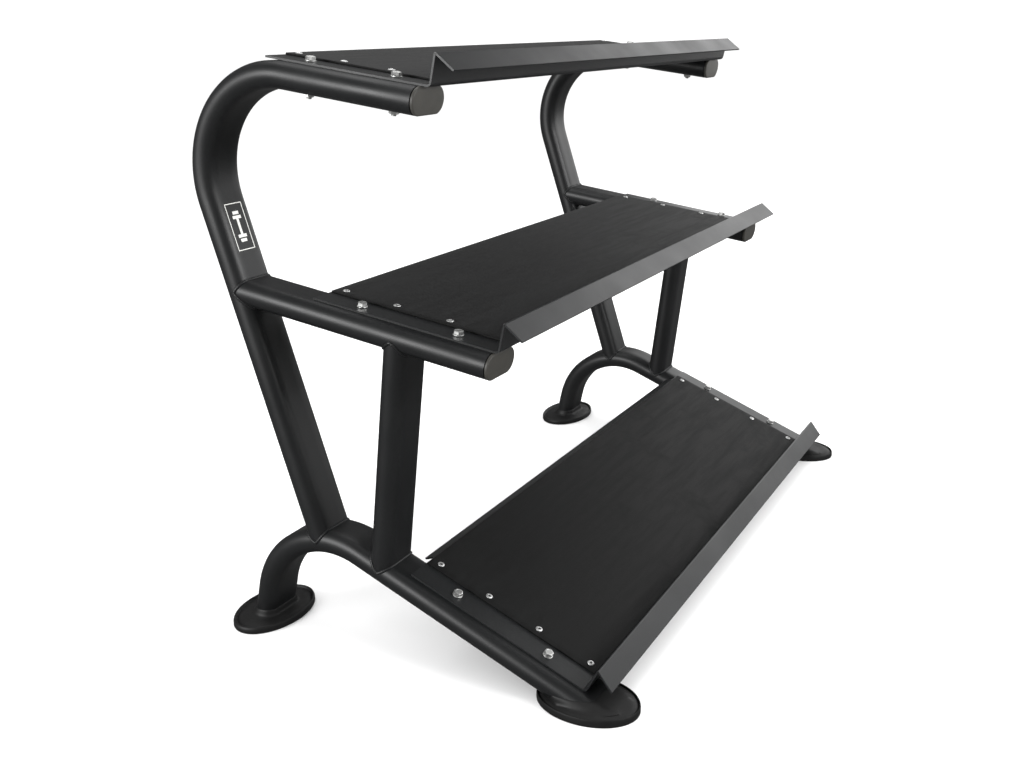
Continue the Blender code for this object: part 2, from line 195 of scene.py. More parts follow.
# Sockets of a Mix node that mixes colours
SHARE, FROM, TO = 0, 6, 7
MIXED = 2


# ---------------------------------------------------------------- finishes


def linear(hex_colour):
    """An sRGB hex colour as linear RGBA."""
    channels = [int(hex_colour[i : i + 2], 16) / 255 for i in (1, 3, 5)]
    return (*[c / 12.92 if c <= 0.04045 else ((c + 0.055) / 1.055) ** 2.4 for c in channels], 1.0)


def add(tree, kind, inputs=(), **settings):
    """A node with its settings, and its inputs set to values or linked to other nodes' outputs."""
    made = tree.nodes.new(kind)
    for name, value in settings.items():
        setattr(made, name, value)
    for socket, value in dict(inputs).items():
        if isinstance(value, bpy.types.NodeSocket):
            tree.links.new(value, made.inputs[socket])
        else:
            made.inputs[socket].default_value = value
    return made


def new_finish(name, **sockets):
    """A material, its tree, its shader with these values on its own sockets, and object coordinates."""
    material = bpy.data.materials.new(name)
    material.use_nodes = True
    tree = material.node_tree
    shader = tree.nodes["Principled BSDF"]
    for socket, value in sockets.items():
        shader.inputs[socket.replace("_", " ")].default_value = value
    place = add(tree, "ShaderNodeTexCoord").outputs["Object"]
    return material, tree, shader, place


def every_mm(size):
    """The scale of a pattern that repeats about every size millimetres."""
    return 1000.0 / size


def wire(tree, shader, colour, gloss=None, bump=None):
    """Links a finish's colour, and its gloss and bump if it has them, to its shader."""
    tree.links.new(colour.outputs[MIXED], shader.inputs["Base Color"])
    if gloss:
        tree.links.new(gloss.outputs["Result"], shader.inputs["Roughness"])
    if bump:
        tree.links.new(bump.outputs["Normal"], shader.inputs["Normal"])


def powder_coat(name, dark, light, peel, rough):
    """Polyester powder, sprayed on steel and baked: satin, with orange peel and slight changes of gloss."""
    material, tree, shader, place = new_finish(name, IOR=1.5)
    # The film's thickness drifts over a hand's width, and its gloss with it
    drift = add(tree, "ShaderNodeTexNoise", {"Vector": place, "Scale": every_mm(90), "Detail": 3.0})
    # Real orange peel is about 1 mm across, too fine to show, so it is drawn at 2.4 mm
    peeled = add(tree, "ShaderNodeTexNoise", {"Vector": place, "Scale": every_mm(2.4), "Detail": 2.0})
    # Paler specks of the powder, also under 1 mm and drawn at 2.6 mm
    speck = add(
        tree,
        "ShaderNodeTexVoronoi",
        {"Vector": place, "Scale": every_mm(2.6)},
        feature="F1",
    )
    gloss = add(
        tree,
        "ShaderNodeMapRange",
        {
            "Value": drift.outputs["Fac"],
            "From Min": 0.3,
            "From Max": 0.7,
            "To Min": rough - 0.04,
            "To Max": rough + 0.05,
        },
    )
    fleck = add(
        tree,
        "ShaderNodeMapRange",
        {
            "Value": speck.outputs["Distance"],
            "From Min": 0.1,
            "From Max": 0.7,
            "To Min": 0.65,
            "To Max": 0.0,
        },
    )
    blend = add(
        tree,
        "ShaderNodeMath",
        {0: drift.outputs["Fac"], 1: fleck.outputs["Result"]},
        operation="MULTIPLY",
    )
    colour = add(
        tree,
        "ShaderNodeMix",
        {SHARE: blend.outputs["Value"], FROM: linear(dark), TO: linear(light)},
        data_type="RGBA",
    )
    bump = add(
        tree,
        "ShaderNodeBump",
        {"Height": peeled.outputs["Fac"], "Strength": peel, "Distance": 0.25 * MM},
    )
    wire(tree, shader, colour, gloss, bump)
    return material


def rubber_sheet():
    """Black rubber sheet, rolled and cut: matt, with faint streaks along the roll and dusty scuffs."""
    material, tree, shader, place = new_finish("calendered_rubber", IOR=1.52, Sheen_Weight=0.03)
    shader.inputs["Sheen Roughness"].default_value = 0.45
    shader.inputs["Specular IOR Level"].default_value = 0.18
    # Streaks from the rolls run along the sheet: 14 mm wide and ten times as long
    stretch = add(tree, "ShaderNodeMapping", {"Vector": place, "Scale": (0.10, 1.0, 1.0)})
    streak = add(
        tree,
        "ShaderNodeTexNoise",
        {
            "Vector": stretch.outputs["Vector"],
            "Scale": every_mm(14),
            "Detail": 5.0,
            "Roughness": 0.65,
        },
    )
    # Chalky scuffs: patches about 85 mm across, broken up by their finer noise
    patch = add(
        tree,
        "ShaderNodeTexNoise",
        {"Vector": place, "Scale": every_mm(85), "Detail": 6.0, "Roughness": 0.7},
    )
    scuff = add(
        tree,
        "ShaderNodeMapRange",
        {
            "Value": patch.outputs["Fac"],
            "From Min": 0.52,
            "From Max": 0.74,
            "To Min": 0.0,
            "To Max": 0.75,
        },
    )
    lined = add(
        tree,
        "ShaderNodeMapRange",
        {
            "Value": streak.outputs["Fac"],
            "From Min": 0.42,
            "From Max": 0.72,
            "To Min": 0.0,
            "To Max": 0.6,
        },
    )
    marks = add(
        tree,
        "ShaderNodeMath",
        {0: scuff.outputs["Result"], 1: lined.outputs["Result"]},
        operation="MAXIMUM",
    )
    colour = add(
        tree,
        "ShaderNodeMix",
        {SHARE: marks.outputs["Value"], FROM: linear("#060606"), TO: linear("#151616")},
        data_type="RGBA",
    )
    gloss = add(
        tree,
        "ShaderNodeMapRange",
        {
            "Value": marks.outputs["Value"],
            "From Min": 0.0,
            "From Max": 1.0,
            "To Min": 0.62,
            "To Max": 0.86,
        },
    )
    # The real crumb is about 1.5 mm, too fine to show, so it is drawn at 2.6 mm
    crumb = add(tree, "ShaderNodeTexNoise", {"Vector": place, "Scale": every_mm(2.6), "Detail": 3.0})
    bump = add(
        tree,
        "ShaderNodeBump",
        {"Height": crumb.outputs["Fac"], "Strength": 0.35, "Distance": 0.4 * MM},
    )
    wire(tree, shader, colour, gloss, bump)
    return material


def moulded_rubber():
    """Black moulded rubber: duller on its high spots, with the pitted skin of a sand-blasted mould."""
    material, tree, shader, place = new_finish("moulded_rubber", IOR=1.52)
    shader.inputs["Specular IOR Level"].default_value = 0.35
    # Dust from handling, in patches of 30 mm
    dust = add(
        tree,
        "ShaderNodeTexNoise",
        {"Vector": place, "Scale": every_mm(30), "Detail": 5.0, "Roughness": 0.6},
    )
    colour = add(
        tree,
        "ShaderNodeMix",
        {SHARE: dust.outputs["Fac"], FROM: linear("#0a0a0a"), TO: linear("#161616")},
        data_type="RGBA",
    )
    gloss = add(
        tree,
        "ShaderNodeMapRange",
        {
            "Value": dust.outputs["Fac"],
            "From Min": 0.3,
            "From Max": 0.7,
            "To Min": 0.46,
            "To Max": 0.62,
        },
    )
    # The mould's texture is finer than 1 mm, too fine to show, so it is drawn at 2.4 mm
    pits = add(tree, "ShaderNodeTexNoise", {"Vector": place, "Scale": every_mm(2.4), "Detail": 2.0})
    bump = add(
        tree,
        "ShaderNodeBump",
        {"Height": pits.outputs["Fac"], "Strength": 0.3, "Distance": 0.3 * MM},
    )
    wire(tree, shader, colour, gloss, bump)
    return material


def moulded_polythene():
    """Dark grey-brown polythene, moulded with a fine spark-eroded texture: dull and even."""
    material, tree, shader, place = new_finish("moulded_polythene", IOR=1.51, Roughness=0.5)
    # The pigment is uneven over 22 mm
    cloud = add(tree, "ShaderNodeTexNoise", {"Vector": place, "Scale": every_mm(22), "Detail": 4.0})
    colour = add(
        tree,
        "ShaderNodeMix",
        {SHARE: cloud.outputs["Fac"], FROM: linear("#2a2926"), TO: linear("#373530")},
        data_type="RGBA",
    )
    # The real spark texture is finer than 1 mm, too fine to show, so it is drawn at 2 mm
    spark = add(tree, "ShaderNodeTexNoise", {"Vector": place, "Scale": every_mm(2.0), "Detail": 2.0})
    bump = add(
        tree,
        "ShaderNodeBump",
        {"Height": spark.outputs["Fac"], "Strength": 0.35, "Distance": 0.2 * MM},
    )
    wire(tree, shader, colour, bump=bump)
    return material


def bright_metal(name, dark, light, cloudy, smooth, rough):
    """Bare or plated metal: bright, with patches where it is both paler and rougher.

    cloudy holds their size in mm and their detail.
    """
    material, tree, shader, place = new_finish(name, Metallic=1.0)
    patch, detail = cloudy
    cloud = add(
        tree,
        "ShaderNodeTexNoise",
        {"Vector": place, "Scale": every_mm(patch), "Detail": detail},
    )
    colour = add(
        tree,
        "ShaderNodeMix",
        {SHARE: cloud.outputs["Fac"], FROM: linear(dark), TO: linear(light)},
        data_type="RGBA",
    )
    gloss = add(
        tree,
        "ShaderNodeMapRange",
        {
            "Value": cloud.outputs["Fac"],
            "From Min": 0.3,
            "From Max": 0.7,
            "To Min": smooth,
            "To Max": rough,
        },
    )
    wire(tree, shader, colour, gloss)
    return material


def snapped_mandrel():
    """Steel stem left broken off inside a blind rivet: rough, with a torn face of 1 mm grains, and near
    black, which is painted shade for the hole it sits in.
    """
    material, tree, shader, place = new_finish("snapped_mandrel", Metallic=1.0, Roughness=0.55)
    torn = add(tree, "ShaderNodeTexNoise", {"Vector": place, "Scale": every_mm(1), "Detail": 3.0})
    # From near black, which is painted shade down in the rivet's hole, to the paler grains of the torn face
    colour = add(
        tree,
        "ShaderNodeMix",
        {SHARE: torn.outputs["Fac"], FROM: linear("#1c1c1c"), TO: linear("#3a3936")},
        data_type="RGBA",
    )
    wire(tree, shader, colour)
    return material


def printed_vinyl():
    """White screen print on vinyl film: flat white, slightly thin in patches of 4 mm."""
    material, tree, shader, place = new_finish("white_printed_vinyl", IOR=1.46, Roughness=0.42)
    thin = add(tree, "ShaderNodeTexNoise", {"Vector": place, "Scale": every_mm(4), "Detail": 3.0})
    colour = add(
        tree,
        "ShaderNodeMix",
        {SHARE: thin.outputs["Fac"], FROM: linear("#c9c9c4"), TO: linear("#f4f4f0")},
        data_type="RGBA",
    )
    wire(tree, shader, colour)
    return material


FINISHES = {
    "powder_coat": powder_coat("satin_black_powder_coat", "#0f1011", "#1a1b1c", 0.30, 0.42),
    # The trays were coated in another batch, a little paler and glossier
    "tray_coat": powder_coat("powder_coated_sheet", "#18191a", "#262727", 0.30, 0.38),
    "rubber_mat": rubber_sheet(),
    "rubber_foot": moulded_rubber(),
    "plastic_cap": moulded_polythene(),
    # Bright zinc plate on cold-forged steel: silvery, with a faint blue passivation
    "zinc": bright_metal("zinc_plated_steel", "#cfd1d2", "#f0efeb", (6, 4.0), 0.38, 0.56),
    # Drawn aluminium of a blind rivet: brighter, and uneven over a shorter distance
    "rivet": bright_metal("rivet_aluminium", "#d8d9da", "#f4f4f2", (3, 3.0), 0.42, 0.58),
    # The rivet's stem: its near-black colour is painted shade for the hole it sits in
    "mandrel": snapped_mandrel(),
    "print": printed_vinyl(),
}


# ---------------------------------------------------------------- plan of the end frame


def slope_axes(slope):
    """Forward direction and upward normal, in (y, z), of a plane that falls towards the front."""
    forward = Vector((-math.cos(slope), -math.sin(slope)))
    return forward, Vector((forward.y, -forward.x))


def lean_axis(lean):
    """Upward direction, in (y, z), of a member that leans back by this angle."""
    return Vector((math.sin(lean), math.cos(lean)))


def crossing(point, along, other, other_along):
    """Where two lines in (y, z) cross."""
    return point + along * ((other - point).cross(other_along) / along.cross(other_along))


def bend_centre(start, corner, end, radius):
    """The centre of the bend that rounds a corner, and the direction from the first leg to its inside."""
    into, out = (corner - start).normalized(), (end - corner).normalized()
    side = Vector((-into.y, into.x))
    if side.dot(out) < 0:
        side = -side
    return corner - into * radius * math.tan(into.angle(out) / 2) + side * radius, side


def bent_path(start, corner, end, radius):
    """Points from start to end round a corner of this radius."""
    into, out = (corner - start).normalized(), (end - corner).normalized()
    turn = into.angle(out)
    centre, side = bend_centre(start, corner, end, radius)
    steps = math.ceil(turn / TUBE_BEND_STEP)
    angles = [turn * i / steps for i in range(steps + 1)]
    bend = [centre + (into * math.sin(a) - side * math.cos(a)) * radius for a in angles]
    return [start, *bend, end]


def arm_line(name):
    """Start under a tray's rear edge, and direction, of the tube that carries the tray."""
    _, slope, y, z, _ = TRAYS[name]
    forward, up = slope_axes(slope)
    return Vector((y, z)) - up * (TUBE_DEEP / 2), forward


class EndFrame:
    """Centre lines of the four tubes of an end frame, as points in (y, z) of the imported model's frame."""

    def __init__(self):
        up = lean_axis(UPRIGHT_LEAN)
        post_up = lean_axis(POST_LEAN)
        self.leg_up = lean_axis(LEG_LEAN)
        on_upright = Vector((UPRIGHT_Y, UPRIGHT_Z))
        on_post = Vector((POST_Y, POST_Z))
        on_leg = Vector((LEG_Y, LEG_Z))
        rail, self.rail_forward = arm_line("bottom")
        corner = crossing(on_leg, self.leg_up, rail, self.rail_forward)
        rear = on_leg - self.leg_up * (LEG_Z / self.leg_up.y)
        front = rail - self.rail_forward * (rail.y / self.rail_forward.y)
        arch_centre, _ = bend_centre(rear, corner, front, ARCH_BEND)
        top, top_forward = arm_line("top")
        middle, middle_forward = arm_line("middle")
        top_end = top + top_forward * (TRAYS["top"][0] - TOP_ARM_SHORT)
        middle_end = middle + middle_forward * (TRAYS["middle"][0] - MIDDLE_ARM_SHORT)
        top_corner = crossing(on_upright, up, top, top_forward)
        top_centre, _ = bend_centre(on_upright, top_corner, top_end, UPRIGHT_BEND)
        rearmost = top_centre.x + UPRIGHT_BEND + TUBE_DEEP / 2
        foremost = front.x + FRONT_SETBACK - FRONT_FOOT[1]
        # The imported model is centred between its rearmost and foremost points
        self.shift = Vector((-(rearmost + foremost) / 2, 0.0))
        # The upright's lower end stops inside the arch
        reach = (arch_centre - on_upright).dot(up) + ARCH_BEND
        foot = on_upright + up * reach
        self.paths = {
            "foot_rail": bent_path(rear, corner, front, ARCH_BEND),
            "upright_arm": bent_path(foot, top_corner, top_end, UPRIGHT_BEND),
            "middle_arm": [crossing(on_upright, up, middle, middle_forward), middle_end],
            "front_post": [
                crossing(on_post, post_up, rail, self.rail_forward),
                crossing(on_post, post_up, middle, middle_forward),
            ],
        }
        for name, path in self.paths.items():
            self.paths[name] = [point + self.shift for point in path]
        self.feet = {
            "rear_foot": (rear + self.shift, self.leg_up, REAR_FOOT, 0.0),
            "front_foot": (front + self.shift, -self.rail_forward, FRONT_FOOT, FRONT_SETBACK),
        }


PLAN = EndFrame()


# ---------------------------------------------------------------- shapes


def mesh_of(name, work, material):
    """A mesh of what was built in a bmesh, which is then freed."""
    mesh = bpy.data.meshes.new(name)
    work.to_mesh(mesh)
    work.free()
    mesh.materials.append(material)
    return mesh


def shaded_mesh(name, work, finish, smooth_under):
    """A mesh with its faces outwards, smooth where they meet at less than this many degrees."""
    bmesh.ops.recalc_face_normals(work, faces=work.faces)
    mesh = mesh_of(name, work, FINISHES[finish])
    mesh.shade_smooth()
    mesh.set_sharp_from_angle(angle=math.radians(smooth_under))
    return mesh


def placed(name, mesh, matrix=None, replaces=()):
    """An object of this mesh, riding on the rack."""
    piece = bpy.data.objects.new(name, mesh)
    bpy.context.scene.collection.objects.link(piece)
    if matrix:
        piece.matrix_world = matrix
    if replaces:
        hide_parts(*replaces)
    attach(piece, "root")
    return piece


def loft(work, rings, closed_ends=True):
    """Skins closed rings of points that match one to one."""
    made = [[work.verts.new(point) for point in ring] for ring in rings]
    for low, high in zip(made, made[1:]):
        for i in range(len(low)):
            j = (i + 1) % len(low)
            work.faces.new((low[i], low[j], high[j], high[i]))
    if closed_ends:
        work.faces.new(made[0])
        work.faces.new(made[-1])


def lofted(name, solids, finish, smooth_under, ring_shaped=False):
    """A mesh of one or more lofts, each given as its rings; a ring-shaped one ends where it started."""
    work = bmesh.new()
    for rings in solids:
        loft(work, rings, closed_ends=not ring_shaped)
    if ring_shaped:
        bmesh.ops.remove_doubles(work, verts=work.verts, dist=SAME_POINT)
    return shaded_mesh(name, work, finish, smooth_under)


def tube_outline(grow=0.0):
    """The tube's section as (across, deep) points, larger all round by grow."""
    half = TUBE_DEEP / 2 + grow
    bulge = TUBE_BULGE + grow / 2
    radius = (bulge * bulge + half * half) / (2 * bulge)
    centre = TUBE_WIDE / 2 + grow - radius
    reach = math.asin(half / radius)
    angles = [reach - 2 * reach * i / TUBE_SIDE_STEPS for i in range(TUBE_SIDE_STEPS + 1)]
    side = [Vector((centre + radius * math.cos(a), radius * math.sin(a))) for a in angles]
    near = side[-1]
    far = Vector((-near.x, near.y))
    flat = [near.lerp(far, i / TUBE_FLAT_STEPS) for i in range(1, TUBE_FLAT_STEPS)]
    half_turn = side + flat
    return half_turn + [-point for point in half_turn]


def in_frame(x, point):
    """A point of the end frame's plane, x across the rack."""
    return Vector((x, point.x, point.y))


def sweep_rings(path, outline, x):
    """The outline carried along a path in (y, z), its deep side in the plane of the path."""
    rings = []
    for i, point in enumerate(path):
        ahead = path[min(i + 1, len(path) - 1)] - point
        behind = point - path[max(i - 1, 0)]
        if 0 < i < len(path) - 1:
            along = (ahead.normalized() + behind.normalized()).normalized()
        else:
            along = (ahead + behind).normalized()
        across = Vector((-along.y, along.x))
        rings.append([in_frame(x + p.x, point + across * p.y) for p in outline])
    return rings


def cut_level(ring, along, level):
    """A ring slid along the tube on to a level plane."""
    direction = in_frame(0, along)
    return [point + direction * ((level - point.z) / direction.z) for point in ring]


def tubes():
    """Draws the tubes of both end frames, and gives each one's surface for the welds."""
    outline = tube_outline()
    trees = {}
    for side, x in SIDES.items():
        for name, path in PLAN.paths.items():
            work = bmesh.new()
            rings = sweep_rings(path, outline, x)
            if name == "foot_rail":
                rings[0] = cut_level(rings[0], PLAN.leg_up, FOOT_SOLE + GAP)
                rings[-1] = cut_level(rings[-1], PLAN.rail_forward, FOOT_SOLE + GAP)
            loft(work, rings)
            trees[name, side] = BVHTree.FromBMesh(work)
            mesh = shaded_mesh(f"{name}_{side}_tube", work, "powder_coat", 35)
            placed(mesh.name, mesh, replaces=[f"{name}_{side}"])
    return trees


def weld_line(path, tree, x, end):
    """Where a tube meets the one it is welded to: points, each with both surfaces' outward directions."""
    welded, inner = (path[0], path[1]) if end == "first" else (path[-1], path[-2])
    along = (welded - inner).normalized()
    across = Vector((-along.y, along.x))
    outline = tube_outline(-WELD_INSET)
    joint = []
    for i, point in enumerate(outline):
        outward = (outline[(i + 1) % len(outline)] - outline[i - 1]).orthogonal().normalized()
        if outward.dot(point) < 0:
            outward = -outward
        origin = in_frame(x + point.x, inner + across * point.y)
        hit, normal, _, _ = tree.ray_cast(origin, in_frame(0, along))
        if hit is None:
            continue
        joint.append((hit, in_frame(outward.x, across * outward.y), normal))
    return joint


def resampled(joint):
    """The weld line at even steps."""
    lengths = [(joint[(i + 1) % len(joint)][0] - joint[i][0]).length for i in range(len(joint))]
    count = max(12, round(sum(lengths) / BEAD_STEP))
    step = sum(lengths) / count
    found, i, used = [], 0, 0.0
    for k in range(count):
        target = k * step
        while used + lengths[i] < target and i < len(joint) - 1:
            used += lengths[i]
            i += 1
        share = (target - used) / lengths[i] if lengths[i] else 0.0
        a, b = joint[i], joint[(i + 1) % len(joint)]
        found.append(tuple(p.lerp(q, share) for p, q in zip(a, b)))
    return found


def weld_bead(name, joint, seed):
    """A coated fillet weld: a rippled bead along the line where two tubes meet."""
    line = resampled(joint)
    chance = random.Random(seed)
    lumps = [chance.uniform(-0.05, 0.05) for _ in range(BEAD_LUMPS)]
    rings = []
    for i, (point, out_tube, out_other) in enumerate(line):
        ahead, behind = line[(i + 1) % len(line)][0], line[i - 1][0]
        along = (ahead - behind).normalized()
        outward = (out_tube + out_other).normalized()
        sideways = along.cross(outward).normalized()
        ripple = BEAD_SWELL * math.sin(2 * math.pi * i * BEAD_STEP / BEAD_RIPPLE)
        lump = lumps[int(i / len(line) * len(lumps))]
        radius = BEAD * (1 + ripple + lump)
        centre = point + outward * BEAD_RISE
        ring = []
        for k in range(BEAD_SIDES):
            angle = 2 * math.pi * k / BEAD_SIDES
            ring.append(centre + (outward * math.cos(angle) + sideways * math.sin(angle)) * radius)
        rings.append(ring)
    rings.append(rings[0])
    mesh = lofted(name, [rings], "powder_coat", 70, ring_shaped=True)
    placed(name, mesh)


def welds(trees):
    """Runs the four welds of each end frame."""
    # The tube, the tube that it meets, and which end of its path is welded
    joints = (
        ("upright_arm", "foot_rail", "first"),
        ("middle_arm", "upright_arm", "first"),
        ("front_post", "foot_rail", "first"),
        ("front_post", "middle_arm", "last"),
    )
    seed = 0
    for side, x in SIDES.items():
        for tube, onto, end in joints:
            seed += 1
            joint = weld_line(PLAN.paths[tube], trees[onto, side], x, end)
            weld_bead(f"weld_{tube}_to_{onto}_{side}", joint, seed)


# -- end caps


# Inset from the tube's outline and height above the tube's end, in mm: groove against the tube's
# end, flange, rounded edge, faintly domed face
CAP_PROFILE = (
    (2.0, 0.3),
    (1.9, 1.1),
    (0.5, 1.4),
    (0.1, 1.7),
    (0.0, 2.2),
    (0.0, 4.6),
    (0.25, 5.4),
    (0.8, 5.9),
    (1.6, 6.15),
    (3.0, 6.2),
    (6.0, 6.35),
    (11.0, 6.5),
)


def end_caps():
    """A cap on the front end of each tube that carries the top and middle trays."""
    for tray, short in (("top", TOP_ARM_SHORT), ("middle", MIDDLE_ARM_SHORT)):
        start, forward = arm_line(tray)
        end = start + forward * (TRAYS[tray][0] - short) + PLAN.shift
        across = Vector((-forward.y, forward.x))
        for side, x in SIDES.items():
            rings = []
            for inset, height in CAP_PROFILE:
                middle = end + forward * (height * MM)
                outline = tube_outline(-inset * MM)
                rings.append([in_frame(x + p.x, middle + across * p.y) for p in outline])
            mesh = lofted(f"{tray}_end_cap_{side}", [rings], "plastic_cap", 50)
            placed(mesh.name, mesh, replaces=[f"{tray}_cap_{side}"])


# -- feet


# Share of the way from the oval's edge to the tube's collar, and height in mm: side, raised rim,
# groove inside it, and the top up to the collar
FOOT_PROFILE = (
    (0.06, 0.0),
    (0.02, 0.5),
    (0.0, 2.0),
    (0.0, 7.0),
    (0.02, 9.4),
    (0.05, 11.2),
    (0.09, 12.0),
    (0.13, 11.7),
    (0.16, 10.2),
    (0.185, 8.2),
    (0.22, 7.4),
    (0.26, 8.2),
    (0.33, 9.2),
    (0.46, 10.1),
    (0.60, 10.9),
    (0.76, 11.8),
)
# Distance outside the tube and height, both in mm, of the collar
COLLAR_PROFILE = (
    (8.0, 12.6),
    (5.6, 13.6),
    (4.1, 15.2),
    (3.1, 17.4),
    (2.3, 19.8),
    (1.5, 22.0),
    (0.8, 23.4),
    (0.2, 24.0),
    (-1.0, 23.6),
)
# The collar stays inside this share of the oval, so the rim runs on under a tube that leaves over it
COLLAR_MOST = 0.84


def footprint(base, along, grow, level, x):
    """The tube's outline, larger by grow, where it passes a level plane."""
    across = Vector((-along.y, along.x))
    ring = [in_frame(x + p.x, base + across * p.y) for p in tube_outline(grow)]
    return cut_level(ring, along, level)


def foot_angles():
    """Even angles round a foot."""
    return [-math.pi + 2 * math.pi * (i + 0.5) / FOOT_SIDES for i in range(FOOT_SIDES)]


def around(ring, centre):
    """The ring's points at even angles round a centre inside it."""
    angled = sorted((math.atan2(p.y - centre.y, p.x - centre.x), p) for p in ring)
    found = []
    for angle in foot_angles():
        after = next((k for k, (a, _) in enumerate(angled) if a > angle), 0)
        a, b = angled[after - 1][1], angled[after][1]
        ray = Vector((math.cos(angle), math.sin(angle)))
        flat_a, flat_b = a.xy - centre.xy, b.xy - centre.xy
        edge = flat_b - flat_a
        share = min(1.0, max(0.0, flat_a.cross(ray) / (ray.cross(edge) or 1e-12)))
        found.append(a.lerp(b, share))
    return found


def kept_inside(ring, oval, centre, most):
    """The ring, with what lies outside this share of the oval drawn in to it."""
    found = []
    for point, edge in zip(ring, oval):
        flat = point.xy - centre.xy
        reach = most * (edge.xy - centre.xy).length
        near = centre.xy + flat * min(1.0, reach / flat.length)
        found.append(Vector((near.x, near.y, point.z)))
    return found


def feet():
    """Boots: an oval sole with a rim, drawn in to a collar that fits the tube where it comes down."""
    for name, (base, along, (half_x, half_y), setback) in PLAN.feet.items():
        for side, x in SIDES.items():
            centre = Vector((x, base.x + setback, 0.0))
            oval = []
            for angle in foot_angles():
                ray = Vector((math.cos(angle), math.sin(angle), 0.0))
                reach = 1 / math.hypot(ray.x / half_x, ray.y / half_y)
                oval.append(centre + ray * reach)
            grow, level = COLLAR_PROFILE[0]
            inner = around(footprint(base, along, grow * MM, level * MM, x), centre)
            inner = kept_inside(inner, oval, centre, COLLAR_MOST)
            rings = []
            for share, height in FOOT_PROFILE:
                ring = [edge.lerp(near, share) for edge, near in zip(oval, inner)]
                rings.append([Vector((p.x, p.y, height * MM)) for p in ring])
            for grow, level in COLLAR_PROFILE:
                ring = around(footprint(base, along, grow * MM, level * MM, x), centre)
                ring = kept_inside(ring, oval, centre, COLLAR_MOST)
                rings.append([Vector((p.x, p.y, level * MM)) for p in ring])
            mesh = lofted(f"{name}_{side}_boot", [rings], "rubber_foot", 60)
            placed(mesh.name, mesh, replaces=[f"{name}_{side}"])


# -- trays


def seat_matrix(tray):
    """Places what is drawn on a tray's seat: +X along the rack, -Y towards the lip, z = 0 on the tube."""
    _, slope, y, z, _ = TRAYS[tray]
    return Matrix.Translation((0, y + PLAN.shift.x, z)) @ Matrix.Rotation(slope, 4, "X")


def bevelled(piece, name, width, segments, over):
    """Rounds the piece's edges that turn by more than this many degrees."""
    bevel = piece.modifiers.new(name, "BEVEL")
    bevel.width = width
    bevel.segments = segments
    bevel.limit_method = "ANGLE"
    bevel.angle_limit = math.radians(over)


def thickened(piece, name, thickness):
    """Gives the piece, drawn as its upper skin, its thickness downwards."""
    solid = piece.modifiers.new(name, "SOLIDIFY")
    solid.thickness = thickness
    solid.offset = -1
    return solid


def folded_sheet(tray):
    """One steel sheet: a seat, a flange bent down behind it, and a folded lip in front."""
    depth = TRAYS[tray][0]
    half = TRAY_LONG / 2
    flange_end = FRAME_X - TUBE_WIDE / 2 - FLANGE_CLEAR
    top = GAP + SHEET
    lip_y = depth + LIP_UP * math.cos(LIP_UP_ANGLE)
    lip_z = top + LIP_UP * math.sin(LIP_UP_ANGLE)
    over_y = lip_y + LIP_OVER * math.cos(LIP_OVER_ANGLE)
    over_z = lip_z - LIP_OVER * math.sin(LIP_OVER_ANGLE)
    # Forward and up from the seat's rear edge, at each fold from the flange's edge to the lip's
    rows = [
        (-FLANGE_DEEP * math.cos(FLANGE_ANGLE), top - FLANGE_DEEP * math.sin(FLANGE_ANGLE)),
        (0.0, top),
        (depth, top),
        (lip_y, lip_z),
        (over_y, over_z),
    ]
    columns = [-half, -flange_end, flange_end, half]
    work = bmesh.new()
    bmesh.ops.create_grid(work, x_segments=len(columns) - 1, y_segments=len(rows) - 1, size=1.0)
    for vert in work.verts:
        column = round((vert.co.x + 1) / 2 * (len(columns) - 1))
        forward, height = rows[round((1 - vert.co.y) / 2 * (len(rows) - 1))]
        vert.co = (columns[column], -forward, height)
    # The flange is cut away where the tubes are
    over_tubes = []
    for face in work.faces:
        middle = face.calc_center_median()
        if middle.y > 0 and abs(middle.x) > flange_end:
            over_tubes.append(face)
    bmesh.ops.delete(work, geom=over_tubes, context="FACES")
    mesh = mesh_of(f"{tray}_sheet", work, FINISHES["tray_coat"])
    mesh.transform(seat_matrix(tray))
    mesh.shade_smooth()
    mesh.set_sharp_from_angle(angle=math.radians(50))
    piece = placed(f"{tray}_folded_tray", mesh, replaces=[f"{tray}_tray"])
    bevelled(piece, "Folds", FOLD_RADIUS, FOLD_SEGMENTS, 20)
    thickened(piece, "Sheet", SHEET).use_even_offset = True
    bevelled(piece, "Edges", CUT_EDGE, 2, 60)
    smooth = piece.modifiers.new("Flat faces", "WEIGHTED_NORMAL")
    smooth.keep_sharp = True


def rubber_mat(tray):
    """A cut sheet of rubber: flat, with soft edges and a slight waviness."""
    depth = TRAYS[tray][0]
    long = TRAY_LONG - 2 * MAT_INSET
    wide = depth - MAT_REAR - MAT_FRONT
    top = SHEET + 2 * GAP + MAT_THICK
    work = bmesh.new()
    columns, rows = MAT_GRID
    bmesh.ops.create_grid(work, x_segments=columns, y_segments=rows, size=0.5)
    for vert in work.verts:
        x, y = vert.co.x * long, vert.co.y * wide
        # The depth sets where in the noise each mat lies
        lie = Vector((x * MAT_WAVES_PER_METRE, y * MAT_WAVES_PER_METRE, 3.7 * depth))
        vert.co = (x, y - MAT_REAR - wide / 2, top - MAT_WAVE * (1 + noise.noise(lie)))
    mesh = mesh_of(f"{tray}_mat_sheet", work, FINISHES["rubber_mat"])
    mesh.shade_smooth()
    mesh.transform(seat_matrix(tray))
    piece = placed(f"{tray}_rubber_mat", mesh, replaces=[f"{tray}_mat"])
    thickened(piece, "Thickness", MAT_THICK)
    bevelled(piece, "Soft edge", MAT_EDGE, 3, 60)


# -- fasteners and rivets, drawn on a seat plane at z = 0


def circle(radius, height, sides):
    """A level ring of points."""
    angles = [2 * math.pi * i / sides for i in range(sides)]
    return [Vector((radius * math.cos(a), radius * math.sin(a), height)) for a in angles]


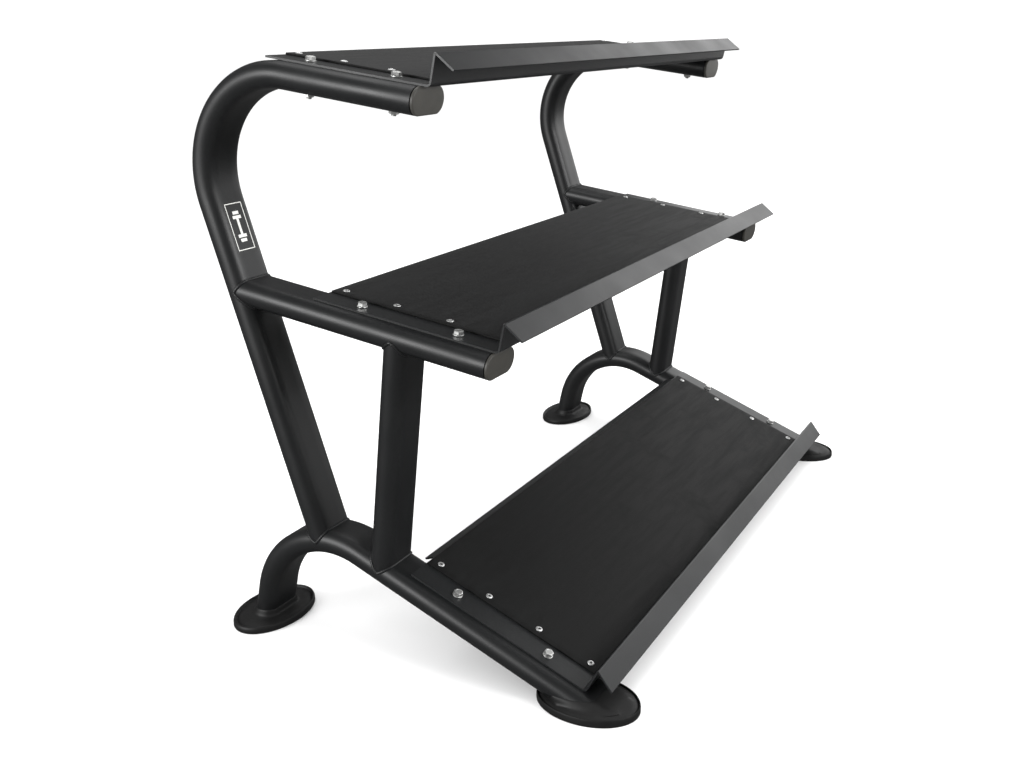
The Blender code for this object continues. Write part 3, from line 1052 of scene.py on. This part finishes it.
def hexagon_reach(angle, flats):
    """Distance from the middle of a hexagon to its outline, in a direction."""
    off_flat = (angle + math.pi / 6) % (math.pi / 3) - math.pi / 6
    return flats / 2 / math.cos(off_flat)


def hexagon_ring(flats, height, chamfer=0.0):
    """A hexagon's outline; a chamfer of 1 brings its corners down, and one of -1 brings them up."""
    ring = []
    for i in range(HEX_SIDES):
        angle = 2 * math.pi * i / HEX_SIDES
        reach = hexagon_reach(angle, flats)
        drop = chamfer * (reach - CHAMFER_SHARE * flats / 2) * math.tan(CHAMFER_ANGLE)
        ring.append(Vector((reach * math.cos(angle), reach * math.sin(angle), height - drop)))
    return ring


def turned_rings(profile, sides):
    """Rings of (radius, height) pairs in millimetres."""
    return [circle(radius * MM, height * MM, sides) for radius, height in profile]


def thread_rings(low, high):
    """A rolled thread from z = low to z = high: the crest climbs one pitch in a turn."""
    rings = []
    steps = round((high - low) / BOLT_PITCH * THREAD_STEPS)
    for step in range(steps + 1):
        z = low + (high - low) * step / steps
        # The first turn is turned down, so that a nut finds it
        full = min(1.0, (z - low) / BOLT_PITCH)
        ring = []
        for i in range(HEX_SIDES):
            turn = i / HEX_SIDES
            phase = (z / BOLT_PITCH - turn) % 1.0
            depth = THREAD_DEPTH * (abs(2 * phase - 1) + LEAD_IN * (1 - full))
            radius = BOLT_DIAMETER / 2 - depth
            angle = 2 * math.pi * turn
            ring.append(Vector((radius * math.cos(angle), radius * math.sin(angle), z)))
        rings.append(ring)
    return rings


def bolt_mesh():
    """A hex bolt: a head with a washer face, a chamfer and a shallow dish, a shank and a rolled thread."""
    low = SHEET + 3 * GAP + WASHER_THICK
    high = low + HEAD_HIGH
    flat_top = CHAMFER_SHARE * HEAD_FLATS / 2
    head = [
        circle(flat_top, low, HEX_SIDES),
        hexagon_ring(HEAD_FLATS, low + 0.4 * MM),
        hexagon_ring(HEAD_FLATS, high, chamfer=1.0),
        circle(flat_top, high, HEX_SIDES),
        # The forged dish in the top of the head
        circle(0.80 * flat_top, high, HEX_SIDES),
        circle(0.74 * flat_top, high - 0.25 * MM, HEX_SIDES),
        circle(0.30 * flat_top, high - 0.30 * MM, HEX_SIDES),
    ]
    nut_top = -TUBE_DEEP
    shank = [circle(BOLT_DIAMETER / 2, z, HEX_SIDES) for z in (nut_top, low + MM)]
    thread = thread_rings(low - BOLT_LONG, nut_top)
    return lofted("hex_bolt", [head, shank, thread], "zinc", 32)


def washer_mesh():
    """A punched plain washer: rounded over on its upper side."""
    low = SHEET + 2 * GAP
    outer, bore = WASHER_DIAMETER / 2 / MM, WASHER_BORE / 2 / MM
    bottom, top = low / MM, (low + WASHER_THICK) / MM
    profile = (
        (bore, bottom),
        (outer - 0.3, bottom),
        (outer, bottom + 0.3),
        (outer, top - 0.4),
        (outer - 0.12, top - 0.12),
        (outer - 0.4, top),
        (bore + 0.2, top),
        (bore, top - 0.2),
        (bore, bottom),
    )
    return lofted("plain_washer", [turned_rings(profile, HEX_SIDES)], "zinc", 50, ring_shaped=True)


def nut_mesh():
    """A hex nut, chamfered on both sides and countersunk below."""
    high = -TUBE_DEEP - GAP
    low = high - NUT_HIGH
    flat_top = CHAMFER_SHARE * HEAD_FLATS / 2
    bore = BOLT_DIAMETER / 2 + GAP
    rings = [
        circle(bore, high, HEX_SIDES),
        circle(flat_top, high, HEX_SIDES),
        hexagon_ring(HEAD_FLATS, high, chamfer=1.0),
        hexagon_ring(HEAD_FLATS, low, chamfer=-1.0),
        circle(flat_top, low, HEX_SIDES),
        circle(bore + NUT_COUNTERSINK, low, HEX_SIDES),
        circle(bore, low + NUT_COUNTERSINK, HEX_SIDES),
        circle(bore, high, HEX_SIDES),
    ]
    return lofted("hex_nut", [rings], "zinc", 32, ring_shaped=True)


# Radius and height in mm above the mat, from the flange's edge to the bottom of the hole
RIVET_PROFILE = (
    (5.5, 0.0),
    (5.6, 0.25),
    (5.45, 0.6),
    (4.9, 1.05),
    (4.0, 1.4),
    (3.0, 1.6),
    (2.6, 1.6),
    (2.35, 1.45),
    (2.3, 1.2),
    (2.3, 0.1),
)
# The same for the stem left in it
MANDREL_PROFILE = ((2.1, -0.5), (2.1, 0.2), (1.5, 0.5), (0.5, 0.4))


def rivets():
    """A row of rivets along each end of each mat."""
    flange = lofted("blind_rivet", [turned_rings(RIVET_PROFILE, 40)], "rivet", 40)
    stem = lofted("rivet_stem", [turned_rings(MANDREL_PROFILE, 20)], "mandrel", 32)
    on_mat = SHEET + 2 * GAP + MAT_THICK - RIVET_SINK
    for tray, (depth, *_) in TRAYS.items():
        rear, front = RIVET_ROWS[tray]
        number = 0
        for x in (RIVET_INSET - TRAY_LONG / 2, TRAY_LONG / 2 - RIVET_INSET):
            for i in range(RIVETS_IN_ROW):
                number += 1
                along = rear + (depth - rear - front) * i / (RIVETS_IN_ROW - 1)
                place = seat_matrix(tray) @ Matrix.Translation((x, -along, on_mat))
                # No two snapped stems point the same way
                turn = place @ Matrix.Rotation(0.7 * number, 4, "Z")
                placed(f"{tray}_rivet_{number}", flange, turn)
                placed(f"{tray}_rivet_stem_{number}", stem, turn)


def fasteners():
    """A bolt, a washer and a nut at each corner of each tray."""
    meshes = {"bolt": bolt_mesh(), "washer": washer_mesh(), "nut": nut_mesh()}
    chance = random.Random(11)
    for tray, (depth, _, _, _, inset) in TRAYS.items():
        number = 0
        for x in SIDES.values():
            for along in (inset, depth - inset):
                number += 1
                place = seat_matrix(tray) @ Matrix.Translation((x, -along, 0))
                for kind, mesh in meshes.items():
                    # Each was tightened to its own angle
                    turn = place @ Matrix.Rotation(chance.uniform(0, math.pi / 3), 4, "Z")
                    node = f"{tray}_{kind}_{number}"
                    placed(f"{tray}_{mesh.name}_{number}", mesh, turn, [node])


# -- sticker on the left upright: a thin frame round a plain dumbbell sign


def sticker():
    """The print on the film, as thin bars: a frame, and a dumbbell standing on end in it."""
    up = lean_axis(UPRIGHT_LEAN)
    out = Vector((-up.y, up.x))
    on_face = up * STICKER_UP + out * (TUBE_DEEP / 2 + STICKER_CLEAR)
    middle = Vector((UPRIGHT_Y, UPRIGHT_Z)) + PLAN.shift + on_face
    # Each bar: middle across and along the upright, width and height
    bars = []
    for sign in (-1, 1):
        side = sign * (STICKER_WIDE - STICKER_LINE) / 2
        end = sign * (STICKER_HIGH - STICKER_LINE) / 2
        bars.append((side, 0, STICKER_LINE, STICKER_HIGH))
        bars.append((0, end, STICKER_WIDE - 2 * STICKER_LINE, STICKER_LINE))
        for along, wide, high in STICKER_PLATES:
            bars.append((0, sign * along, wide, high))
    bars.append((0, 0, *STICKER_BAR))
    work = bmesh.new()
    for across, along, wide, high in bars:
        made = bmesh.ops.create_cube(work, size=1.0)["verts"]
        bmesh.ops.scale(work, vec=(wide, high, STICKER_THICK), verts=made)
        bmesh.ops.translate(work, vec=(across, along, STICKER_THICK / 2), verts=made)
    turn = Matrix(((1, 0, 0), (0, up.x, out.x), (0, up.y, out.y))).to_4x4()
    bmesh.ops.transform(work, matrix=turn, verts=work.verts)
    bmesh.ops.translate(work, vec=in_frame(-FRAME_X, middle), verts=work.verts)
    bmesh.ops.recalc_face_normals(work, faces=work.faces)
    placed("upright_sticker", mesh_of("upright_sticker", work, FINISHES["print"]))


# ---------------------------------------------------------------- floor, light and camera


def pale_floor():
    """A pale matt studio floor, large enough to run out of every view."""
    material, tree, shader, place = new_finish("painted_studio_floor", IOR=1.45, Roughness=0.9)
    shader.inputs["Specular IOR Level"].default_value = 0.1
    # Roller marks, about 1.7 m apart
    cloud = add(tree, "ShaderNodeTexNoise", {"Vector": place, "Scale": every_mm(1667), "Detail": 2.0})
    colour = add(
        tree,
        "ShaderNodeMix",
        {SHARE: cloud.outputs["Fac"], FROM: linear("#f3f3f3"), TO: linear("#f7f7f7")},
        data_type="RGBA",
    )
    wire(tree, shader, colour)
    work = bmesh.new()
    bmesh.ops.create_circle(work, cap_ends=True, segments=FLOOR_CORNERS, radius=FLOOR_RADIUS)
    floor = bpy.data.objects.new("studio_floor", mesh_of("studio_floor", work, material))
    bpy.context.scene.collection.objects.link(floor)
    # The floor lights the rack but doesn't show in its gloss
    floor.visible_glossy = False


def softbox(name, at, towards, wide, high, watts):
    """A rectangular soft light at a place, turned to a point."""
    light = bpy.data.lights.new(name, "AREA")
    light.shape = "RECTANGLE"
    light.size = wide
    light.size_y = high
    light.energy = watts
    lamp = bpy.data.objects.new(name, light)
    lamp.location = at
    lamp.rotation_euler = (Vector(towards) - Vector(at)).to_track_quat("-Z", "Y").to_euler()
    bpy.context.scene.collection.objects.link(lamp)


def studio_light():
    """A bright room and its soft boxes."""
    world = bpy.data.worlds.new("studio")
    bpy.context.scene.world = world
    world.use_nodes = True
    tree = world.node_tree
    background = tree.nodes["Background"]
    # White behind the rack and on the floor, and dim where gloss reflects it, as between black screens
    ray = add(tree, "ShaderNodeLightPath")
    lit = add(
        tree,
        "ShaderNodeMapRange",
        {"Value": ray.outputs["Is Glossy Ray"], "To Min": ROOM_LIGHT, "To Max": ROOM_REFLECTED},
    )
    tree.links.new(lit.outputs["Result"], background.inputs["Strength"])
    background.inputs["Color"].default_value = (1.0, 1.0, 1.0, 1.0)
    for name, settings in SOFTBOXES.items():
        softbox(name, *settings)
    bpy.context.scene.view_settings.view_transform = "Standard"


def camera():
    """The front camera, at waist height off the rack's front left corner."""
    data = bpy.data.cameras.new("camera")
    data.lens = LENS
    data.sensor_width = SENSOR
    data.sensor_fit = "HORIZONTAL"
    data.clip_start = 0.05
    data.clip_end = 200.0
    eye = bpy.data.objects.new("camera", data)
    back = -CAMERA_LOOKS.normalized()
    right = CAMERA_RIGHT.normalized()
    up = back.cross(right).normalized()
    right = up.cross(back)
    turn = Matrix((right, up, back)).transposed().to_4x4()
    eye.matrix_world = Matrix.Translation(CAMERA_AT) @ turn
    bpy.context.scene.collection.objects.link(eye)
    bpy.context.scene.camera = eye


def main():
    trees = tubes()
    welds(trees)
    end_caps()
    feet()
    for tray in TRAYS:
        folded_sheet(tray)
        rubber_mat(tray)
    rivets()
    fasteners()
    sticker()
    pale_floor()
    studio_light()
    camera()


main()
